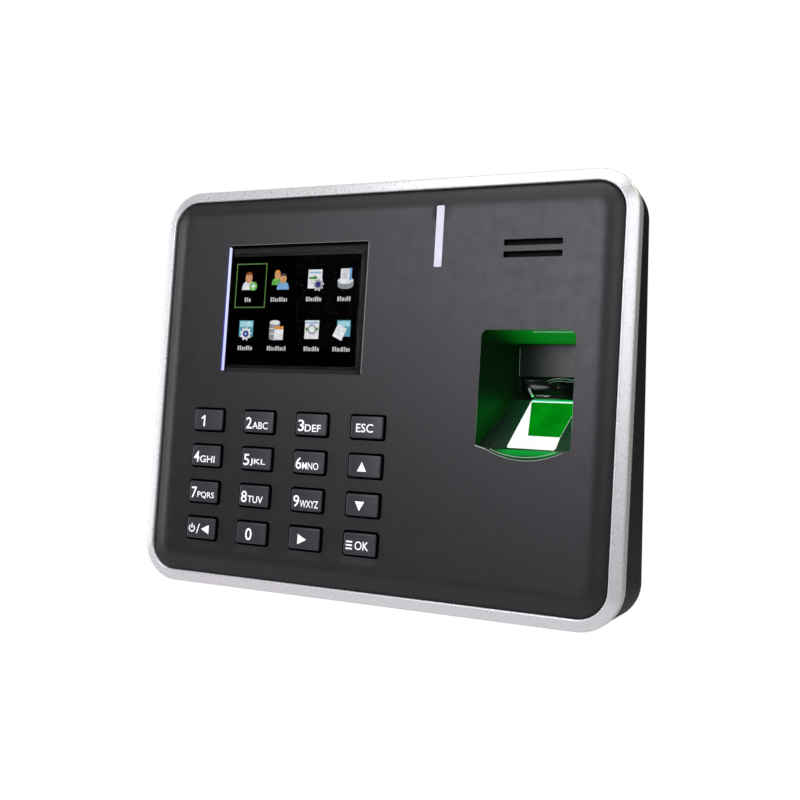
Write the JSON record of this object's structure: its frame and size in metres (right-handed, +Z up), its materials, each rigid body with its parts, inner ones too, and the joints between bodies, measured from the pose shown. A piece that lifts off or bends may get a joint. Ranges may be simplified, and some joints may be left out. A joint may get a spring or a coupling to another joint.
{
  "type": "fingerprint scanner terminal",
  "caption": "Wall-mounted fingerprint terminal: wedge housing with silver trim, colour display, pressable keypad, lit finger well and hook-on wall plate.",
  "frame": {"origin": "centre of the wall plate's rear face, where the terminal hangs on the wall", "axes": "+Y into the wall, +X to the user's right along the long side, +Z up; the front faces -Y and leans back by 7.8 degrees"},
  "size_m": [0.1928, 0.0402, 0.1597],
  "materials": {
    "cover_plastic": "satin black, fine moulded texture",
    "silver_trim": "satin silver paint over a moulded ring",
    "housing_plastic": "fine spark-eroded black texture",
    "key_plastic": "satin charcoal with white printed legends",
    "gloss_black": "polished black",
    "window_glass": "clear pane with a black printed border",
    "display_glass": "dark display glass",
    "light_plastic": "white light guide",
    "light_bar": "frosted translucent bar",
    "led_white": "lamp packages",
    "prism_glass": "glass prism lit green from below",
    "inner_plastic": "moulded",
    "connector_plastic": "off-white moulded",
    "terminal_plastic": "green moulded",
    "chip_plastic": "moulded epoxy",
    "plunger_plastic": "natural acetal",
    "circuit_board": "green solder mask",
    "sheet_metal": "bright sheet",
    "speaker_metal": "plated basket and magnet",
    "jack_metal": "plated shield",
    "cell_steel": "stainless",
    "screw_steel": "zinc plated",
    "plate_steel": "galvanised sheet",
    "flex_film": "amber film",
    "foam": "closed-cell foam",
    "seal_rubber": "soft strip",
    "silicone": "grey silicone"
  },
  "bodies": {
    "wall_plate": {"wall_plate": "plate_steel"},
    "terminal": {"front_cover": "cover_plastic", "bezel_trim": "silver_trim", "perimeter_seal": "seal_rubber", "lens_window": "window_glass", "lens_gasket": "foam", "lcd_frame": "sheet_metal", "lcd_glass": "display_glass", "lcd_backlight": "light_plastic", "lcd_flex": "flex_film", "status_light_pipe": "light_bar", "status_leds": "led_white", "status_led_board": "circuit_board", "speaker": "speaker_metal", "speaker_gasket": "foam", "sensor_well": "gloss_black", "sensor_prism": "prism_glass", "sensor_module_housing": "inner_plastic", "sensor_led_board": "circuit_board", "sensor_lens": "inner_plastic", "sensor_camera_board": "circuit_board", "sensor_cable": "flex_film", "keypad_mat": "silicone", "keypad_board": "circuit_board", "keypad_ribbon": "flex_film", "main_board": "circuit_board", "main_chips": "chip_plastic", "board_capacitors": "sheet_metal", "board_headers": "connector_plastic", "ethernet_jack": "jack_metal", "power_jack": "inner_plastic", "terminal_block": "terminal_plastic", "usb_port": "jack_metal", "cell_holder": "inner_plastic", "coin_cell": "cell_steel", "buzzer": "inner_plastic", "tamper_switch": "inner_plastic", "case_screws": "screw_steel", "board_screws": "screw_steel", "sensor_screws": "screw_steel", "rear_housing": "housing_plastic"},
    "lock_screw": {"lock_screw": "screw_steel"},
    "tamper_plunger": {"tamper_plunger": "plunger_plastic"},
    "key_1": {"key_1": "key_plastic"},
    "key_2": {"key_2": "key_plastic"},
    "key_3": {"key_3": "key_plastic"},
    "key_esc": {"key_esc": "key_plastic"},
    "key_4": {"key_4": "key_plastic"},
    "key_5": {"key_5": "key_plastic"},
    "key_6": {"key_6": "key_plastic"},
    "key_up": {"key_up": "key_plastic"},
    "key_7": {"key_7": "key_plastic"},
    "key_8": {"key_8": "key_plastic"},
    "key_9": {"key_9": "key_plastic"},
    "key_down": {"key_down": "key_plastic"},
    "key_power_left": {"key_power_left": "key_plastic"},
    "key_0": {"key_0": "key_plastic"},
    "key_right": {"key_right": "key_plastic"},
    "key_menu_ok": {"key_menu_ok": "key_plastic"}
  },
  "joints": [
    {"name": "lift_off", "type": "slide", "parent": "wall_plate", "child": "terminal", "axis": [0, 0, 1], "range_m": [0, 0.008]},
    {"name": "lock_screw_out", "type": "slide", "parent": "wall_plate", "child": "lock_screw", "axis": [0, 0, -1], "range_m": [0, 0.012]},
    {"name": "tamper_press", "type": "slide", "parent": "terminal", "child": "tamper_plunger", "axis": [0, -1, 0], "range_m": [0, 0.0015], "stiffness_N_per_m": 400, "springref_m": -0.001},
    {"name": "key_1_press", "type": "slide", "parent": "terminal", "child": "key_1", "axis": [0, 0.9907, -0.1357], "range_m": [0, 0.001], "stiffness_N_per_m": 1500, "springref_m": -0.0003},
    {"name": "key_2_press", "type": "slide", "parent": "terminal", "child": "key_2", "axis": [0, 0.9907, -0.1357], "range_m": [0, 0.001], "stiffness_N_per_m": 1500, "springref_m": -0.0003},
    {"name": "key_3_press", "type": "slide", "parent": "terminal", "child": "key_3", "axis": [0, 0.9907, -0.1357], "range_m": [0, 0.001], "stiffness_N_per_m": 1500, "springref_m": -0.0003},
    {"name": "key_esc_press", "type": "slide", "parent": "terminal", "child": "key_esc", "axis": [0, 0.9907, -0.1357], "range_m": [0, 0.001], "stiffness_N_per_m": 1500, "springref_m": -0.0003},
    {"name": "key_4_press", "type": "slide", "parent": "terminal", "child": "key_4", "axis": [0, 0.9907, -0.1357], "range_m": [0, 0.001], "stiffness_N_per_m": 1500, "springref_m": -0.0003},
    {"name": "key_5_press", "type": "slide", "parent": "terminal", "child": "key_5", "axis": [0, 0.9907, -0.1357], "range_m": [0, 0.001], "stiffness_N_per_m": 1500, "springref_m": -0.0003},
    {"name": "key_6_press", "type": "slide", "parent": "terminal", "child": "key_6", "axis": [0, 0.9907, -0.1357], "range_m": [0, 0.001], "stiffness_N_per_m": 1500, "springref_m": -0.0003},
    {"name": "key_up_press", "type": "slide", "parent": "terminal", "child": "key_up", "axis": [0, 0.9907, -0.1357], "range_m": [0, 0.001], "stiffness_N_per_m": 1500, "springref_m": -0.0003},
    {"name": "key_7_press", "type": "slide", "parent": "terminal", "child": "key_7", "axis": [0, 0.9907, -0.1357], "range_m": [0, 0.001], "stiffness_N_per_m": 1500, "springref_m": -0.0003},
    {"name": "key_8_press", "type": "slide", "parent": "terminal", "child": "key_8", "axis": [0, 0.9907, -0.1357], "range_m": [0, 0.001], "stiffness_N_per_m": 1500, "springref_m": -0.0003},
    {"name": "key_9_press", "type": "slide", "parent": "terminal", "child": "key_9", "axis": [0, 0.9907, -0.1357], "range_m": [0, 0.001], "stiffness_N_per_m": 1500, "springref_m": -0.0003},
    {"name": "key_down_press", "type": "slide", "parent": "terminal", "child": "key_down", "axis": [0, 0.9907, -0.1357], "range_m": [0, 0.001], "stiffness_N_per_m": 1500, "springref_m": -0.0003},
    {"name": "key_power_left_press", "type": "slide", "parent": "terminal", "child": "key_power_left", "axis": [0, 0.9907, -0.1357], "range_m": [0, 0.001], "stiffness_N_per_m": 1500, "springref_m": -0.0003},
    {"name": "key_0_press", "type": "slide", "parent": "terminal", "child": "key_0", "axis": [0, 0.9907, -0.1357], "range_m": [0, 0.001], "stiffness_N_per_m": 1500, "springref_m": -0.0003},
    {"name": "key_right_press", "type": "slide", "parent": "terminal", "child": "key_right", "axis": [0, 0.9907, -0.1357], "range_m": [0, 0.001], "stiffness_N_per_m": 1500, "springref_m": -0.0003},
    {"name": "key_menu_ok_press", "type": "slide", "parent": "terminal", "child": "key_menu_ok", "axis": [0, 0.9907, -0.1357], "range_m": [0, 0.001], "stiffness_N_per_m": 1500, "springref_m": -0.0003}
  ]
}
